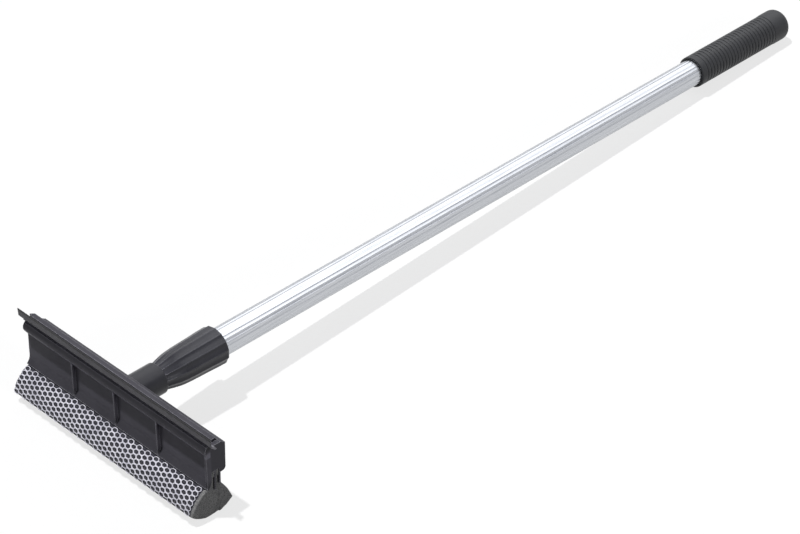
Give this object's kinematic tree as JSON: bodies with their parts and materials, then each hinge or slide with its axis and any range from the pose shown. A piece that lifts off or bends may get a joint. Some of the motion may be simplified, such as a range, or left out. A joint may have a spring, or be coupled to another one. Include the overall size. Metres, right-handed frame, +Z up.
{
  "type": "sponge squeegee",
  "caption": "Long handled window squeegee: a rubber blade clamped along one edge of a moulded head, a netted foam sponge below it, and a fluted alloy pole with a ringed grip.",
  "frame": {"origin": "middle of the bounding box, at the height of the table that the sponge and the grip's end lie on", "axes": "+X along the head to its closed end, +Y from the sponge along the pole to the grip, +Z up from the sponge to the blade"},
  "size_m": [0.2032, 0.7512, 0.0728],
  "materials": {
    "moulded_plastic": "satin",
    "blade_rubber": "satin",
    "foam": "matte",
    "net_yarn": "matte",
    "alloy": "satin",
    "grip_vinyl": "satin"
  },
  "bodies": {
    "head": {"head_frame": "moulded_plastic", "sponge": "foam", "sponge_core_strip": "moulded_plastic", "net_cover": "net_yarn"},
    "blade_set": {"squeegee_blade": "blade_rubber", "blade_clamp_strip": "moulded_plastic"},
    "handle": {"handle_adapter": "moulded_plastic", "pole": "alloy", "grip": "grip_vinyl"}
  },
  "joints": [
    {"name": "blade_slide", "type": "slide", "parent": "head", "child": "blade_set", "axis": [-1, 0, 0], "range_m": [0, 0.185]},
    {"name": "handle_turn", "type": "hinge", "parent": "head", "child": "handle", "pos_m": [0, -0.31877, 0.04352], "axis": [0, 0.999, -0.0436], "range_deg": [0, 1560]}
  ]
}
